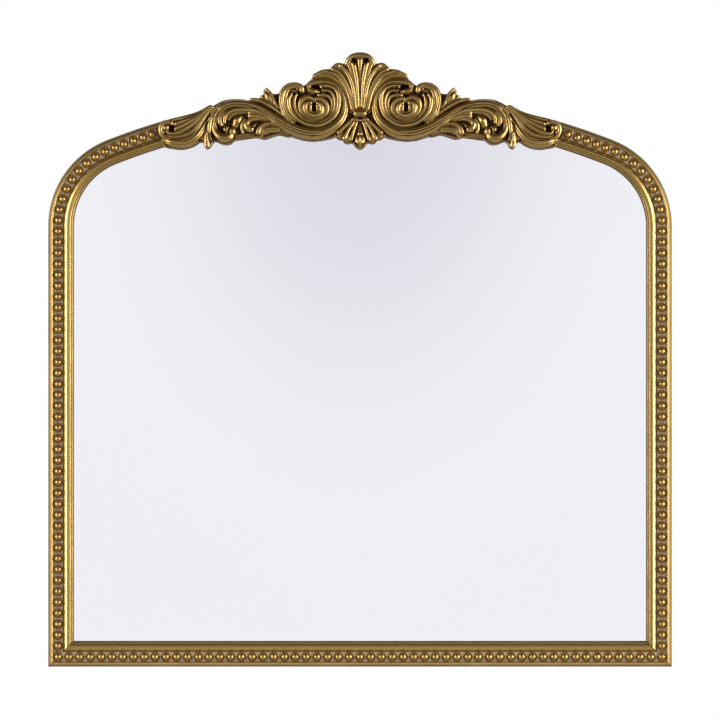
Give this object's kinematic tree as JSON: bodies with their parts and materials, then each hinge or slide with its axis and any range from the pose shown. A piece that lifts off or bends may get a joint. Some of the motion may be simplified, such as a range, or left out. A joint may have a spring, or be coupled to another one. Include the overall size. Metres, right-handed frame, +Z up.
{
  "type": "wall mirror",
  "caption": "Overmantel wall mirror: arched gilt frame with a beaded channel, a scrolled crest with a central palmette, and D-ring hangers and turn buttons behind.",
  "frame": {"origin": "middle of the lower back edge of the frame: the frame's back is the plane y = 0 and its underside z = 0", "axes": "+Z up, the glass faces -Y, +X to the right as seen from the front"},
  "size_m": [0.914, 0.0407, 0.8995],
  "materials": {
    "gilt_wood": "antique gilt over gesso, satin",
    "gilt_composition": "antique gilt, dark glaze in the cups",
    "gilt_casting": "antique gilt, dark glaze in the hollows",
    "silvered_glass": "polished float glass, silvered behind",
    "buffer_card": "plain card",
    "hardboard": "pressed board, smooth side out",
    "cork": "pressed cork",
    "beech": "fluted dowel stock",
    "zinc_steel": "bright zinc plate",
    "black_rubber": "moulded, matt"
  },
  "bodies": {
    "mirror": {"bottom_rail": "gilt_wood", "left_stile": "gilt_wood", "right_stile": "gilt_wood", "left_shoulder": "gilt_wood", "right_shoulder": "gilt_wood", "arch_head": "gilt_wood", "bead_strip_bottom": "gilt_composition", "bead_strip_left": "gilt_composition", "bead_strip_right": "gilt_composition", "bead_strip_left_shoulder": "gilt_composition", "bead_strip_right_shoulder": "gilt_composition", "bead_strip_left_head": "gilt_composition", "bead_strip_right_head": "gilt_composition", "crest_palmette": "gilt_casting", "crest_scroll_left": "gilt_casting", "crest_scroll_right": "gilt_casting", "mirror_glass": "silvered_glass", "buffer_sheet": "buffer_card", "backing_board": "hardboard", "cork_edge_blocks": "cork", "turn_button_screws": "zinc_steel", "hanger_strap_left": "zinc_steel", "hanger_strap_right": "zinc_steel", "hanger_screws": "zinc_steel", "wall_pads": "black_rubber", "corner_braces": "zinc_steel", "brace_screws": "zinc_steel", "joint_dowels": "beech", "crest_screws": "zinc_steel"},
    "turn_button_bottom_left": {"turn_button_bottom_left": "zinc_steel"},
    "turn_button_bottom_right": {"turn_button_bottom_right": "zinc_steel"},
    "turn_button_low_left": {"turn_button_low_left": "zinc_steel"},
    "turn_button_low_right": {"turn_button_low_right": "zinc_steel"},
    "turn_button_high_left": {"turn_button_high_left": "zinc_steel"},
    "turn_button_high_right": {"turn_button_high_right": "zinc_steel"},
    "turn_button_head_left": {"turn_button_head_left": "zinc_steel"},
    "turn_button_head_right": {"turn_button_head_right": "zinc_steel"},
    "hanger_ring_left": {"hanger_ring_left": "zinc_steel"},
    "hanger_ring_right": {"hanger_ring_right": "zinc_steel"}
  },
  "joints": [
    {"name": "turn_button_bottom_left_turn", "type": "hinge", "parent": "mirror", "child": "turn_button_bottom_left", "pos_m": [-0.22, 0.0008, 0.02], "axis": [0, 1, 0], "continuous": true},
    {"name": "turn_button_bottom_right_turn", "type": "hinge", "parent": "mirror", "child": "turn_button_bottom_right", "pos_m": [0.22, 0.0008, 0.02], "axis": [0, 1, 0], "continuous": true},
    {"name": "turn_button_low_left_turn", "type": "hinge", "parent": "mirror", "child": "turn_button_low_left", "pos_m": [-0.437, 0.0008, 0.15], "axis": [0, 1, 0], "continuous": true},
    {"name": "turn_button_low_right_turn", "type": "hinge", "parent": "mirror", "child": "turn_button_low_right", "pos_m": [0.437, 0.0008, 0.15], "axis": [0, 1, 0], "continuous": true},
    {"name": "turn_button_high_left_turn", "type": "hinge", "parent": "mirror", "child": "turn_button_high_left", "pos_m": [-0.437, 0.0008, 0.43], "axis": [0, 1, 0], "continuous": true},
    {"name": "turn_button_high_right_turn", "type": "hinge", "parent": "mirror", "child": "turn_button_high_right", "pos_m": [0.437, 0.0008, 0.43], "axis": [0, 1, 0], "continuous": true},
    {"name": "turn_button_head_left_turn", "type": "hinge", "parent": "mirror", "child": "turn_button_head_left", "pos_m": [-0.08675, 0.0008, 0.81821], "axis": [0, 1, 0], "continuous": true},
    {"name": "turn_button_head_right_turn", "type": "hinge", "parent": "mirror", "child": "turn_button_head_right", "pos_m": [0.08675, 0.0008, 0.81821], "axis": [0, 1, 0], "continuous": true},
    {"name": "hanger_ring_left_swing", "type": "hinge", "parent": "mirror", "child": "hanger_ring_left", "pos_m": [-0.4415, 0.00285, 0.6], "axis": [1, 0, 0], "range_deg": [0, 180]},
    {"name": "hanger_ring_right_swing", "type": "hinge", "parent": "mirror", "child": "hanger_ring_right", "pos_m": [0.4415, 0.00285, 0.6], "axis": [1, 0, 0], "range_deg": [0, 180]}
  ]
}
